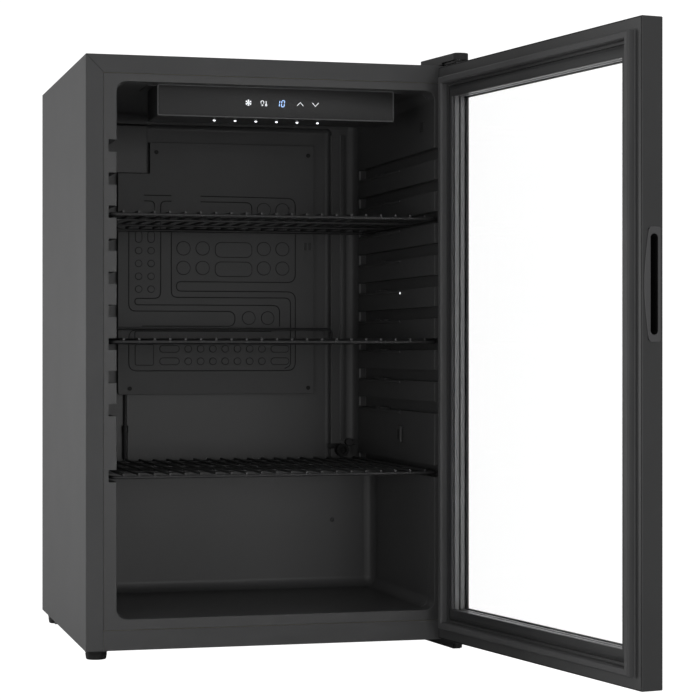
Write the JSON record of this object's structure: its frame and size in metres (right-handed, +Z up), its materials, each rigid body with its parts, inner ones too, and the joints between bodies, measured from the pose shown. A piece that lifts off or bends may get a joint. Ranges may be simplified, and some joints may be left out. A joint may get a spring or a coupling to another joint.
{
  "type": "wine cooler",
  "caption": "Free-standing wine cooler with a hinged glass door, wire shelves that slide in side grooves, a top control box and a rear compressor space.",
  "frame": {"origin": "on the floor, under the middle of the whole object's box with its door standing open", "axes": "+Z up, the cabinet's front faces -Y, +X to the right as seen from the front, which is the hinge side"},
  "size_m": [0.6238, 1.0746, 0.852],
  "materials": {
    "charcoal_paint": "satin",
    "liner_plastic": "satin",
    "pu_foam": "matte",
    "zinc_steel": "satin",
    "black_steel": "satin",
    "black_plastic": "satin",
    "gloss_fascia": "gloss",
    "rubber": "matte",
    "clear_glass": "polished",
    "spacer_aluminium": "satin",
    "copper": "satin",
    "shelf_coat": "satin",
    "handle_grey": "satin",
    "led_lens": "gloss",
    "circuit_board": "satin"
  },
  "bodies": {
    "cabinet": {"outer_wrap": "charcoal_paint", "front_strip": "charcoal_paint", "inner_liner": "liner_plastic", "insulation_foam": "pu_foam", "bottom_plate": "zinc_steel", "machine_room_panel": "zinc_steel", "back_panel": "zinc_steel", "compressor_base": "zinc_steel", "compressor": "black_steel", "compressor_mount_left": "rubber", "compressor_mount_right": "rubber", "relay_cover": "black_plastic", "drain_tray": "black_plastic", "drain_tube": "rubber", "suction_pipe": "copper", "discharge_pipe": "copper", "filter_drier": "copper", "electrical_box": "black_plastic", "cord_gland": "rubber", "condenser_coil": "copper", "evaporator_plate": "spacer_aluminium", "evaporator_tube_cover": "liner_plastic", "evaporator_sensor": "black_plastic", "pipe_grommet": "rubber", "room_sensor_cover": "black_plastic", "control_housing": "black_plastic", "control_fascia": "gloss_fascia", "led_strip": "led_lens", "display_board": "circuit_board", "rear_left_foot": "rubber", "rear_right_foot": "rubber", "top_hinge_plate": "zinc_steel", "top_hinge_pin": "zinc_steel", "top_hinge_cover": "black_plastic", "top_hinge_screw_left": "zinc_steel", "top_hinge_screw_right": "zinc_steel", "bottom_hinge_plate": "black_steel", "bottom_hinge_pin": "black_steel", "bottom_hinge_screw_front": "zinc_steel", "bottom_hinge_screw_rear": "zinc_steel", "evaporator_screw_1": "black_plastic", "evaporator_screw_2": "black_plastic", "evaporator_screw_3": "black_plastic", "evaporator_screw_4": "black_plastic"},
    "door": {"door_frame": "black_plastic", "door_retaining_frame": "black_plastic", "door_gasket": "rubber", "outer_glass_pane": "clear_glass", "middle_glass_pane": "clear_glass", "inner_glass_pane": "clear_glass", "outer_glass_spacer": "spacer_aluminium", "middle_glass_spacer": "spacer_aluminium", "top_door_bush": "black_plastic", "bottom_door_bush": "black_plastic", "door_handle": "handle_grey"},
    "upper_shelf": {"shelf_upper": "shelf_coat"},
    "middle_shelf": {"shelf_middle": "shelf_coat"},
    "lower_shelf": {"shelf_lower": "shelf_coat"},
    "left_foot": {"front_left_foot": "rubber"},
    "right_foot": {"front_right_foot": "rubber"}
  },
  "joints": [
    {"name": "door_hinge", "type": "hinge", "parent": "cabinet", "child": "door", "pos_m": [0.215, -0.01399, 0.4], "axis": [0, 0, 1], "range_deg": [-99.8, 80.2]},
    {"name": "upper_shelf_slide", "type": "slide", "parent": "cabinet", "child": "upper_shelf", "axis": [0, -1, 0], "range_m": [0, 0.026]},
    {"name": "middle_shelf_slide", "type": "slide", "parent": "cabinet", "child": "middle_shelf", "axis": [0, -1, 0], "range_m": [0, 0.026]},
    {"name": "lower_shelf_slide", "type": "slide", "parent": "cabinet", "child": "lower_shelf", "axis": [0, -1, 0], "range_m": [0, 0.026]},
    {"name": "left_foot_thread", "type": "hinge", "parent": "cabinet", "child": "left_foot", "pos_m": [-0.2944, 0.04201, 0.005], "axis": [0, 0, 1], "range_deg": [-360, 1440]},
    {"name": "right_foot_thread", "type": "hinge", "parent": "cabinet", "child": "right_foot", "pos_m": [0.2085, 0.13751, 0.005], "axis": [0, 0, 1], "range_deg": [-360, 1440]}
  ]
}
